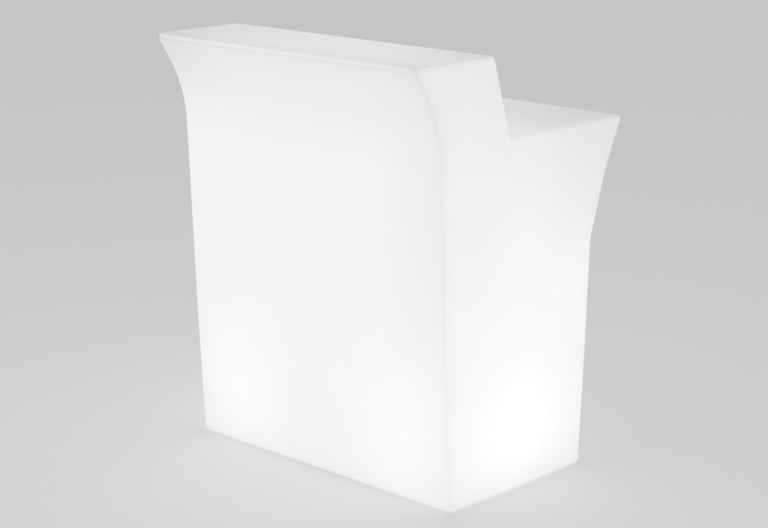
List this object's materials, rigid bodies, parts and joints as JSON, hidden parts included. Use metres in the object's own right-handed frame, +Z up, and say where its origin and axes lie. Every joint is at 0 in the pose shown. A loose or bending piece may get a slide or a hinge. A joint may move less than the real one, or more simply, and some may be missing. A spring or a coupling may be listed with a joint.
{
  "type": "illuminated bar counter",
  "caption": "Free-standing bar counter moulded in white translucent plastic and lit from inside, with a bar top that flares out, a lower worktop, a storage niche and levelling feet.",
  "frame": {"origin": "on the floor, under the middle of the counter's overall outline", "axes": "+Z up, +Y towards the bartender's side, +X to the right of a customer who faces the counter"},
  "size_m": [0.9, 0.764, 1.1],
  "materials": {
    "shell": "satin white, translucent, lit from inside",
    "shelf": "satin white",
    "cover": "satin light grey powder coat",
    "post": "satin",
    "lampholder": "gloss white",
    "nickel": "nickel plated",
    "bulb_body": "gloss white",
    "bulb_globe": "frosted, lit",
    "seal": "matt",
    "foot_rubber": "matt",
    "fastener": "zinc plated",
    "brass": "plain",
    "electrical": "fine texture",
    "rocker": "gloss",
    "lead": "satin",
    "clip": "satin"
  },
  "bodies": {
    "counter": {"body_shell": "shell", "inlet_gasket": "seal", "inlet_plate": "cover", "inlet_screws": "fastener", "inlet_inserts": "brass", "inlet_socket": "electrical", "inlet_pins": "brass", "switch_housing": "electrical", "jumper_leads": "lead", "lead_clips": "clip", "foot_insert_front_left": "brass", "foot_insert_front_right": "brass", "foot_insert_rear_left": "brass", "foot_insert_rear_right": "brass", "lamp_plate_left": "cover", "lamp_gasket_left": "seal", "lamp_plate_screws_left": "fastener", "lamp_plate_inserts_left": "brass", "lamp_post_left": "post", "lamp_post_screws_left": "fastener", "lampholder_left": "lampholder", "bulb_cap_left": "nickel", "bulb_body_left": "bulb_body", "bulb_globe_left": "bulb_globe", "lamp_lead_left": "lead", "lamp_plate_right": "cover", "lamp_gasket_right": "seal", "lamp_plate_screws_right": "fastener", "lamp_plate_inserts_right": "brass", "lamp_post_right": "post", "lamp_post_screws_right": "fastener", "lampholder_right": "lampholder", "bulb_cap_right": "nickel", "bulb_body_right": "bulb_body", "bulb_globe_right": "bulb_globe", "lamp_lead_right": "lead"},
    "shelf_board": {"shelf": "shelf"},
    "rocker": {"switch_rocker": "rocker"},
    "foot_front_left": {"foot_stud_front_left": "fastener", "foot_pad_front_left": "foot_rubber"},
    "foot_front_right": {"foot_stud_front_right": "fastener", "foot_pad_front_right": "foot_rubber"},
    "foot_rear_left": {"foot_stud_rear_left": "fastener", "foot_pad_rear_left": "foot_rubber"},
    "foot_rear_right": {"foot_stud_rear_right": "fastener", "foot_pad_rear_right": "foot_rubber"}
  },
  "joints": [
    {"name": "shelf_slide", "type": "slide", "parent": "counter", "child": "shelf_board", "axis": [0, 1, 0], "range_m": [0, 0.11]},
    {"name": "rocker_tilt", "type": "hinge", "parent": "counter", "child": "rocker", "pos_m": [0.0315, 0.21974, 0.105], "axis": [-1, 0, 0], "range_deg": [0, 16]},
    {"name": "foot_front_left_adjust", "type": "slide", "parent": "counter", "child": "foot_front_left", "axis": [0, 0, -1], "range_m": [0, 0.012]},
    {"name": "foot_front_right_adjust", "type": "slide", "parent": "counter", "child": "foot_front_right", "axis": [0, 0, -1], "range_m": [0, 0.012]},
    {"name": "foot_rear_left_adjust", "type": "slide", "parent": "counter", "child": "foot_rear_left", "axis": [0, 0, -1], "range_m": [0, 0.012]},
    {"name": "foot_rear_right_adjust", "type": "slide", "parent": "counter", "child": "foot_rear_right", "axis": [0, 0, -1], "range_m": [0, 0.012]}
  ]
}
